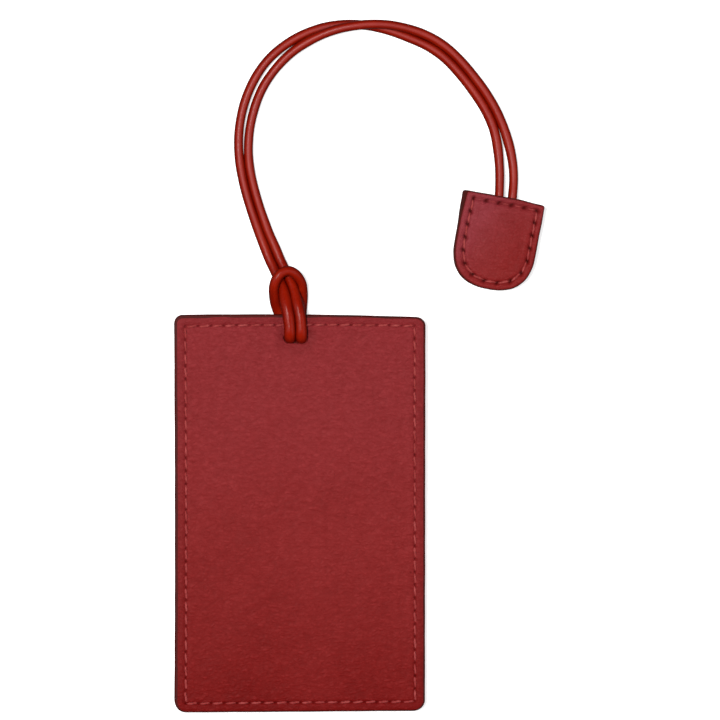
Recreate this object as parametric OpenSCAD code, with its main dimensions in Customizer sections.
// Leather luggage tag: a stitched two-face tag with an address-card pocket,
// and a doubled round cord that is hitched through a slot and ends in a sewn tab.
//
// Frame: millimetres. The tag lies on its back on the plane Z = 0, front face up.
// +Y runs along the tag towards the cord slot, +Z points up out of the front face,
// and the origin is under the middle of the tag.

/* [Tag] */
// Width of the tag
tag_w = 70; // [68:1:76]
// Length of the tag
tag_h = 111; // [110:1:120]
// Radius of the two corners beside the slot
corner_top = 2.4; // [1.5:0.1:4]
// Radius of the two corners at the far end
corner_bottom = 3.2; // [1.5:0.1:5]
// Thickness of the front leather
front_t = 1.2; // [1:0.1:1.6]
// Thickness of the stiffening board
board_t = 0.6; // [0.4:0.1:1]
// Thickness of the lining leather
lining_t = 0.7; // [0.6:0.1:1]
// Thickness of the leather frame round the window
frame_t = 1.5; // [1.5:0.1:1.8]
// How far the slot's middle is from the slot end's edge
slot_inset = 6.3; // [6.2:0.1:6.4]
// Length of the cord slot, across the tag
slot_l = 6.6; // [6.4:0.1:8]
// Width of the cord slot
slot_w = 3.3; // [3.2:0.1:3.5]

/* [Card pocket] */
// Width of the address card
card_w = 54; // [50:1:54]
// Length of the address card
card_h = 85; // [80:1:85]
// Thickness of the address card
card_t = 0.3; // [0.2:0.05:0.35]
// Thickness of the clear film
film_t = 0.2; // [0.15:0.05:0.25]
// Width of the window
window_w = 42.5; // [36:0.5:44]
// Length of the window
window_h = 72; // [60:1:74]
// Radius of the thumb notch at the pocket's mouth
notch_r = 8; // [5:0.5:8]

/* [Seams] */
// Distance of the seam from the tag's edge
seam_inset = 3; // [2.5:0.1:3.2]
// Length of one stitch with its gap
stitch_pitch = 3.6; // [3:0.1:4.5]
// Gap between two stitches, where the thread dips
stitch_gap = 0.7; // [0.4:0.1:1]
// Diameter of the thread
thread_d = 0.42; // [0.3:0.02:0.44]
// Thickness of the paint on the cut edges
paint_t = 0.2; // [0.15:0.05:0.3]

/* [Cord] */
// Diameter of the cord
cord_d = 2.6; // [2.4:0.05:2.7]

/* [Tab] */
// Width of the tab
tab_w = 22.8; // [22:0.2:25]
// Length of the tab
tab_l = 26.2; // [24:0.1:28]
// How far the front leather sits to one side of the back leather
tab_set = 0.5; // [0:0.1:0.6]
// Thickness of each leather face of the tab
tab_skin_t = 1.1; // [0.9:0.1:1.3]
// Thickness of the tab's filler
tab_core_t = 2.8; // [2.8:0.1:3]
// Turn of the tab in the plane it lies on, in degrees
tab_turn = -10; // [-12:0.5:-8]

/* [Hidden] */

leather = [0.56, 0.18, 0.19];
cord_red = [0.66, 0.13, 0.07];
thread_red = [0.68, 0.27, 0.26];
dark_edge = [0.24, 0.08, 0.07];

// Heights in the tag's own stack, from its back
z_lining = frame_t;
z_board = z_lining + lining_t;
z_front = z_board + board_t;
tag_t = z_front + front_t;
// The cord under the slot end lifts the tag by this angle
lean = 0.7;

groove_w = 0.9;
groove_d = 0.5;
eps = 0.02;
// Depth of the thread's middle under the leather's face
thread_z = thread_d / 2 + 0.03;

slot_x = -1.2;
slot_y = tag_h / 2 - slot_inset;

// Pocket: the frame stops short of the mouth side and of the slot
mouth_x = tag_w / 2 - 6;
frame_top = tag_h / 2 - 14.5;
pocket_x0 = -tag_w / 2 + 4;
pocket_y0 = -tag_h / 2 + 5;
pocket_y1 = pocket_y0 + card_h + 1;
recess_d = film_t + card_t + 0.25;
card_x = pocket_x0 + 0.5 + card_w / 2;
card_y = pocket_y0 + 0.5 + card_h / 2;
window_x = card_x - 0.25;
window_y = card_y;
window_seam = 1.8;
film_x1 = window_x + window_w / 2 + 3.3;

seam_x = tag_w / 2 - seam_inset;
seam_y = tag_h / 2 - seam_inset;

// Tab
tab_t = 2 * tab_skin_t + tab_core_t;
tab_r = tab_w / 2;
tab_x = 57.3;
tab_y = 88.7;
tab_seam_r = tab_r - 2.2;
tab_seam_top = 1.75;
tab_straight = tab_l - tab_r;
// notch in the filler, and gap in the edge paint, for the two cord ends
notch_x = 0.5;
notch_w = 7;
notch_l = 10.5;

// Cord route: the middle of the cord, from the hitch's neck down the front of the
// tag, through the slot, up behind it, over both runs and back the same way
knot_path = [
    [-5.5, 71.2, 2], [-4.3, 68.7, 2.6], [-3.2, 66.3, 3.3], [-2.1, 63.8, 4.2],
    [-1.2, 61, 5.3], [-0.5, 58.2, 6.3], [0.1, 55.4, 6.7], [0.3, 53, 6.7],
    [0.4, 51.4, 6.7], [0.4, 50.3, 6.5], [0.4, 49.4, 5.8], [0.4, 49, 4.9],
    [0.4, 48.9, 4], [0.4, 49, 3.1], [0.4, 49.4, 2.2], [0.4, 50.3, 1.5],
    [0.4, 51.5, 1.3], [0.5, 53.5, 1.3], [0.6, 56, 1.4], [0.8, 59, 1.7],
    [0.9, 61.7, 2.6], [0.5, 64.4, 3.9], [-0.5, 66.4, 5], [-1.9, 67.8, 5.9],
    [-3.6, 68.3, 6.3], [-5.3, 67.6, 6.6], [-6.6, 65.9, 6.5], [-7.3, 63.6, 5.7],
    [-7.4, 61, 4], [-6.8, 58.3, 2.4], [-5.8, 55.8, 1.5], [-4.4, 53.4, 1.3],
    [-3.2, 51.6, 1.3], [-2.8, 50.4, 1.5], [-2.8, 49.5, 2.2], [-2.8, 49.1, 3.1],
    [-2.8, 49, 4], [-2.8, 49.1, 4.9], [-2.8, 49.5, 5.8], [-2.8, 50.4, 6.5],
    [-2.8, 51.6, 6.7], [-2.9, 53.2, 6.7], [-3.1, 55.4, 6.7], [-3.6, 58.2, 6.3],
    [-4.2, 61, 5.3], [-5.1, 63.8, 4.2], [-6.2, 66.3, 3.3], [-7.3, 68.7, 2.6],
    [-8.5, 71.2, 2]];

// The two runs of the loop; the over run crosses on top of the other at the crown
neck_over = [[-5.5, 71.2, 2], [-7.3, 75.6, 1.4], [-9.1, 80.1, 1.3]];
neck_under = [[-8.5, 71.2, 2], [-10.2, 75.6, 1.4], [-11.9, 80.1, 1.3]];
over_path = [
    [-9.1, 80.1, 1.3], [-12, 89, 1.3], [-14, 98, 1.3],
    [-14.2, 107, 1.3], [-11.7, 116, 1.3], [-6.7, 123.8, 1.4], [0, 130.6, 2.1],
    [7.6, 134.8, 3.4], [14.6, 136.5, 4.1], [21.3, 137.1, 4], [28, 136.4, 3],
    [34.8, 134.2, 1.7], [41.6, 129.9, 1.3], [48.3, 122.6, 1.3], [54.4, 113.8, 1.3],
    [58.1, 104.7, 1.3], [59.6, 96.5, 1.6], [59.8, 91.5, 2.1]];
under_path = [
    [-11.9, 80.1, 1.3], [-14.8, 89, 1.3], [-16.8, 98, 1.3],
    [-17.1, 107, 1.3], [-14.9, 117, 1.3], [-9.3, 126.8, 1.3], [-1, 133.2, 1.3],
    [7.8, 136.5, 1.3], [16.5, 137, 1.3], [25, 135.3, 1.3], [33.2, 131.8, 1.3],
    [41, 126.4, 1.3], [47.5, 119.2, 1.3], [52.1, 111.4, 1.3], [55.1, 103.2, 1.3],
    [56.2, 96.5, 1.6], [56, 91.5, 2.1]];
// The last of each run, which bends as the tab swings, and its end inside the tab
tail_over = [[59.8, 91.5, 2.1], [59.7, 89.9, 2.4], [59.6, 88.2, 2.5]];
tail_under = [[56, 91.5, 2.1], [56, 90.2, 2.4], [55.9, 88.8, 2.5]];
end_over = [[59.6, 88.2, 2.5], [58.8, 83.5, 2.5], [57.9, 78.5, 2.5]];
end_under = [[55.9, 88.8, 2.5], [55.1, 84, 2.5], [54.2, 79, 2.5]];

// ---- helpers ----

module corners4(w, h, rt, rb, inset = 0) {
    // a plate outline with its own radii at the slot end and the far end
    x = w / 2 - inset;
    y = h / 2 - inset;
    a = rt - inset;
    b = rb - inset;
    difference() {
        square([2 * x, 2 * y], center = true);
        for (s = [-1, 1]) {
            translate([s * x - (s > 0 ? a : 0), y - a]) square([a, a]);
            translate([s * x - (s > 0 ? b : 0), -y]) square([b, b]);
        }
    }
    for (s = [-1, 1]) {
        translate([s * (x - a), y - a]) circle(r = a, $fn = 48);
        translate([s * (x - b), -y + b]) circle(r = b, $fn = 48);
    }
}

module round_box(w, h, r) {
    difference() {
        square([w, h], center = true);
        for (sx = [-1, 1], sy = [-1, 1])
            translate([sx * w / 2 - (sx > 0 ? r : 0), sy * h / 2 - (sy > 0 ? r : 0)])
                square([r, r]);
    }
    for (sx = [-1, 1], sy = [-1, 1])
        translate([sx * (w / 2 - r), sy * (h / 2 - r)]) circle(r = r, $fn = 48);
}

module slot_cut(z0, z1) {
    translate([slot_x, slot_y, z0]) {
        for (s = [-1, 1])
            translate([s * (slot_l - slot_w) / 2, 0, 0])
                cylinder(d = slot_w, h = z1 - z0, $fn = 48);
        translate([-(slot_l - slot_w) / 2, -slot_w / 2, 0])
            cube([slot_l - slot_w, slot_w, z1 - z0]);
    }
}

// lays the tag's flat stack on the table, its slot end lifted by the cord
module laid_tag() {
    translate([0, -tag_h / 2, 0]) rotate([lean, 0, 0])
        translate([0, tag_h / 2, 0]) children();
}

// puts the tab's own frame where the loop ends
module laid_tab() {
    translate([tab_x, tab_y, 0]) rotate([0, 0, tab_turn]) children();
}

module seam_groove(x0, x1, y0, y1, z0) {
    // a rectangular ring groove whose middle runs along the given rectangle
    g = groove_w / 2;
    translate([0, 0, z0]) {
        for (y = [y0, y1])
            translate([x0 - g, y - g, 0]) cube([x1 - x0 + 2 * g, groove_w, groove_d + eps]);
        for (x = [x0, x1])
            translate([x - g, y0 - g, 0]) cube([groove_w, y1 - y0 + 2 * g, groove_d + eps]);
    }
}

module stitch(p, q, z) {
    d = q - p;
    l = norm(d);
    translate([p[0], p[1], z]) rotate([0, 0, atan2(d[1], d[0])])
        translate([stitch_gap / 2, 0, 0]) rotate([0, 90, 0])
            cylinder(d = thread_d, h = l - stitch_gap, $fn = 24);
}

module stitch_row(p, q, z) {
    n = round(norm(q - p) / stitch_pitch);
    for (i = [0 : n - 1])
        stitch(p + (q - p) * i / n, p + (q - p) * (i + 1) / n, z);
}

module stitch_ring(x0, x1, y0, y1, z) {
    stitch_row([x0, y0], [x1, y0], z);
    stitch_row([x1, y0], [x1, y1], z);
    stitch_row([x1, y1], [x0, y1], z);
    stitch_row([x0, y1], [x0, y0], z);
}

function unit(v) = v / norm(v);

// direction of the route at its point i; before and after are the route's next
// points beyond this stretch, so that two stretches share the plane they meet in
function heading(p, i, before, after) =
    unit((i == len(p) - 1 ? after : p[i + 1]) - (i == 0 ? before : p[i - 1]));

// side vectors carried along the route without twist
function carry(p, i, n, before, after) =
    let (t = heading(p, i, before, after), m = unit(n - (n * t) * t))
        i == len(p) - 1 ? [m] : concat([m], carry(p, i + 1, m, before, after));

// an eight-sided tube along the points p
module tube(p, before, after) {
    t0 = heading(p, 0, before, after);
    side = carry(p, 0, abs(t0[2]) > 0.9 ? [1, 0, 0] : cross(t0, [0, 0, 1]), before, after);
    sides = 8;
    ring = [for (i = [0 : len(p) - 1], j = [0 : sides - 1])
        let (n = side[i], b = cross(heading(p, i, before, after), n),
             a = 360 * (j + 0.5) / sides)
            p[i] + cord_d / 2 * (cos(a) * n + sin(a) * b)];
    wall = [for (i = [0 : len(p) - 2], j = [0 : sides - 1])
        let (a = i * sides + j, b = i * sides + (j + 1) % sides)
            each [[a, a + sides, b], [b, a + sides, b + sides]]];
    start = [for (j = [1 : sides - 2]) [0, j, j + 1]];
    end0 = (len(p) - 1) * sides;
    end = [for (j = [1 : sides - 2]) [end0, end0 + j + 1, end0 + j]];
    polyhedron(points = ring, faces = concat(wall, start, end));
}

// ---- the tag ----

module front_panel() {
    color(leather) laid_tag() difference() {
        translate([0, 0, z_front]) linear_extrude(front_t)
            corners4(tag_w, tag_h, corner_top, corner_bottom, paint_t);
        slot_cut(z_front - 1, tag_t + 1);
        seam_groove(-seam_x, seam_x, -seam_y, seam_y, tag_t - groove_d);
    }
}

module stiffener_board() {
    color([0.75, 0.68, 0.55]) laid_tag() difference() {
        translate([0, 0, z_board]) linear_extrude(board_t)
            corners4(tag_w, tag_h, corner_top, corner_bottom, paint_t);
        slot_cut(z_board - 1, z_front + 1);
    }
}

module back_lining() {
    color(leather) laid_tag() difference() {
        translate([0, 0, z_lining]) linear_extrude(lining_t)
            corners4(tag_w, tag_h, corner_top, corner_bottom, paint_t);
        slot_cut(z_lining - 1, z_board + 1);
        // seam groove where the lining is the outer layer
        translate([0, 0, z_lining - eps]) {
            translate([-seam_x - groove_w / 2, seam_y - groove_w / 2, 0])
                cube([2 * seam_x + groove_w, groove_w, groove_d + eps]);
            translate([seam_x - groove_w / 2, -seam_y - groove_w / 2, 0])
                cube([groove_w, 2 * seam_y + groove_w, groove_d + eps]);
            translate([-seam_x - groove_w / 2, frame_top, 0])
                cube([groove_w, seam_y - frame_top, groove_d + eps]);
            translate([mouth_x, -seam_y - groove_w / 2, 0])
                cube([seam_x - mouth_x, groove_w, groove_d + eps]);
        }
    }
}

module frame_outline() {
    intersection() {
        corners4(tag_w, tag_h, corner_top, corner_bottom, paint_t);
        translate([-tag_w / 2, -tag_h / 2])
            square([mouth_x + tag_w / 2, frame_top + tag_h / 2]);
    }
}

module window_frame() {
    color(leather) laid_tag() difference() {
        linear_extrude(frame_t) difference() {
            frame_outline();
            translate([window_x, window_y]) round_box(window_w, window_h, 2);
            translate([mouth_x, card_y]) circle(r = notch_r, $fn = 64);
        }
        // pocket for the film and the card, open at the mouth
        translate([pocket_x0, pocket_y0, frame_t - recess_d])
            cube([mouth_x - pocket_x0 + 1, pocket_y1 - pocket_y0, recess_d + 1]);
        // grooves of the edge seam, of the pocket's top seam and of the window seam
        translate([-seam_x - groove_w / 2, -seam_y - groove_w / 2, -eps])
            cube([mouth_x + seam_x + 1, groove_w, groove_d + eps]);
        translate([-seam_x - groove_w / 2, -seam_y - groove_w / 2, -eps])
            cube([groove_w, frame_top + seam_y + 1, groove_d + eps]);
        translate([-seam_x, frame_top - 2.5 - groove_w / 2, -eps])
            cube([mouth_x + seam_x - 2, groove_w, groove_d + eps]);
        seam_groove(window_x - window_w / 2 - window_seam, window_x + window_w / 2 + window_seam,
                    window_y - window_h / 2 - window_seam, window_y + window_h / 2 + window_seam, -eps);
    }
}

module window_film() {
    color([0.85, 0.92, 0.95, 0.35]) laid_tag()
        translate([pocket_x0 + 1, pocket_y0 + 1, frame_t - recess_d])
            cube([film_x1 - pocket_x0 - 1, pocket_y1 - pocket_y0 - 2, film_t]);
}

module id_card() {
    color([0.95, 0.94, 0.9]) laid_tag()
        translate([card_x, card_y, frame_t - 0.15 - card_t]) linear_extrude(card_t)
            round_box(card_w, card_h, 2);
}

module tag_edge_paint() {
    color(dark_edge) laid_tag() {
        translate([0, 0, z_lining]) linear_extrude(tag_t - z_lining) difference() {
            corners4(tag_w, tag_h, corner_top, corner_bottom);
            corners4(tag_w, tag_h, corner_top, corner_bottom, paint_t);
        }
        linear_extrude(z_lining) intersection() {
            difference() {
                corners4(tag_w, tag_h, corner_top, corner_bottom);
                corners4(tag_w, tag_h, corner_top, corner_bottom, paint_t);
            }
            translate([-tag_w / 2 - 1, -tag_h / 2 - 1])
                square([mouth_x + tag_w / 2 + 1, frame_top + tag_h / 2 + 1]);
        }
    }
}

module front_stitches() {
    color(thread_red) laid_tag()
        stitch_ring(-seam_x, seam_x, -seam_y, seam_y, tag_t - thread_z);
}

module back_stitches() {
    color(thread_red) laid_tag() {
        // on the frame
        stitch_row([-seam_x, frame_top], [-seam_x, -seam_y], thread_z);
        stitch_row([-seam_x, -seam_y], [mouth_x, -seam_y], thread_z);
        // on the lining beyond the frame
        z = z_lining + thread_z;
        stitch_row([mouth_x, -seam_y], [seam_x, -seam_y], z);
        stitch_row([seam_x, -seam_y], [seam_x, seam_y], z);
        stitch_row([seam_x, seam_y], [-seam_x, seam_y], z);
        stitch_row([-seam_x, seam_y], [-seam_x, frame_top], z);
    }
}

module pocket_stitches() {
    color(thread_red) laid_tag()
        stitch_row([-seam_x + 1.2, frame_top - 2.5], [mouth_x - 2.4, frame_top - 2.5], thread_z);
}

module window_stitches() {
    color(thread_red) laid_tag()
        stitch_ring(window_x - window_w / 2 - window_seam, window_x + window_w / 2 + window_seam,
                    window_y - window_h / 2 - window_seam, window_y + window_h / 2 + window_seam,
                    thread_z);
}

// ---- the cord ----

module cord_knot() {
    color(cord_red) tube(knot_path, neck_over[1], neck_under[1]);
}

module cord_neck() {
    color(cord_red) {
        tube(neck_over, knot_path[1], over_path[1]);
        tube(neck_under, knot_path[len(knot_path) - 2], under_path[1]);
    }
}

module cord_strand_over() {
    color(cord_red) tube(over_path, neck_over[1], tail_over[1]);
}

module cord_strand_under() {
    color(cord_red) tube(under_path, neck_under[1], tail_under[1]);
}

module cord_tails() {
    color(cord_red) {
        tube(tail_over, over_path[len(over_path) - 2], end_over[1]);
        tube(tail_under, under_path[len(under_path) - 2], end_under[1]);
    }
}

module cord_ends() {
    color(cord_red) {
        tube(end_over, tail_over[1], end_over[2] + (end_over[2] - end_over[1]));
        tube(end_under, tail_under[1], end_under[2] + (end_under[2] - end_under[1]));
    }
}

// ---- the tab, with its mouth on its own X axis and its round end towards -Y ----

module tab_outline(inset = 0) {
    r = tab_r - inset;
    translate([0, -tab_straight]) circle(r = r, $fn = 96);
    translate([-r, -tab_straight]) square([2 * r, tab_straight - inset]);
}

module tab_groove(z0) {
    translate([0, 0, z0]) {
        // top row and sides
        translate([-tab_seam_r - groove_w / 2, -tab_seam_top - groove_w / 2, 0])
            cube([2 * tab_seam_r + groove_w, groove_w, groove_d + eps]);
        for (s = [-1, 1])
            translate([s * tab_seam_r - groove_w / 2, -tab_straight, 0])
                cube([groove_w, tab_straight - tab_seam_top, groove_d + eps]);
        // round end
        intersection() {
            translate([0, -tab_straight, 0]) difference() {
                cylinder(r = tab_seam_r + groove_w / 2, h = groove_d + eps, $fn = 96);
                translate([0, 0, -1])
                    cylinder(r = tab_seam_r - groove_w / 2, h = groove_d + 3, $fn = 96);
            }
            translate([-tab_w, -tab_l - 1, -1]) cube([2 * tab_w, tab_r + 1.01, 3]);
        }
    }
}

module tab_face(z0, groove_z) {
    difference() {
        translate([0, 0, z0]) linear_extrude(tab_skin_t) tab_outline(paint_t);
        tab_groove(groove_z);
    }
}

module tab_front() {
    color(leather) laid_tab() translate([tab_set / 2, 0, 0])
        tab_face(tab_t - tab_skin_t, tab_t - groove_d);
}

module tab_back() {
    color(leather) laid_tab() translate([-tab_set / 2, 0, 0]) tab_face(0, -eps);
}

module tab_core() {
    color([0.62, 0.4, 0.3]) laid_tab() difference() {
        translate([0, 0, tab_skin_t]) linear_extrude(tab_core_t) tab_outline(paint_t);
        // the two cord ends lie glued in this notch
        translate([notch_x - notch_w / 2, -notch_l, tab_skin_t - 1])
            cube([notch_w, notch_l + 4, tab_core_t + 2]);
    }
}

module paint_band(z0, h, set) {
    translate([set, 0, z0]) linear_extrude(h) difference() {
        tab_outline();
        tab_outline(paint_t);
    }
}

module tab_edge_paint() {
    color(dark_edge) laid_tab() {
        paint_band(0, tab_skin_t, -tab_set / 2);
        difference() {
            paint_band(tab_skin_t, tab_core_t, 0);
            // the mouth stays open for the cord
            translate([notch_x - notch_w / 2, -3, tab_skin_t - 1])
                cube([notch_w, 6, tab_core_t + 2]);
        }
        paint_band(tab_t - tab_skin_t, tab_skin_t, tab_set / 2);
    }
}

// point at distance s down the right side, round the end and up the left side
function tab_seam(s) =
    let (a = tab_straight - tab_seam_top, arc = PI * tab_seam_r)
        s < a ? [tab_seam_r, -tab_seam_top - s]
        : s < a + arc ? let (w = (s - a) / tab_seam_r * 180 / PI)
            [tab_seam_r * cos(w), -tab_straight - tab_seam_r * sin(w)]
        : [-tab_seam_r, -tab_straight + (s - a - arc)];

module tab_stitches(z) {
    stitch_row([-tab_seam_r, -tab_seam_top], [tab_seam_r, -tab_seam_top], z);
    run = 2 * (tab_straight - tab_seam_top) + PI * tab_seam_r;
    n = 15;
    for (i = [0 : n - 1]) stitch(tab_seam(run * i / n), tab_seam(run * (i + 1) / n), z);
}

module tab_front_stitches() {
    color(thread_red) laid_tab() translate([tab_set / 2, 0, 0])
        tab_stitches(tab_t - thread_z);
}

module tab_back_stitches() {
    color(thread_red) laid_tab() translate([-tab_set / 2, 0, 0]) tab_stitches(thread_z);
}

front_panel();
stiffener_board();
back_lining();
window_frame();
window_film();
id_card();
tag_edge_paint();
front_stitches();
back_stitches();
pocket_stitches();
window_stitches();
cord_knot();
cord_neck();
cord_strand_over();
cord_strand_under();
cord_tails();
cord_ends();
tab_front();
tab_core();
tab_back();
tab_edge_paint();
tab_front_stitches();
tab_back_stitches();
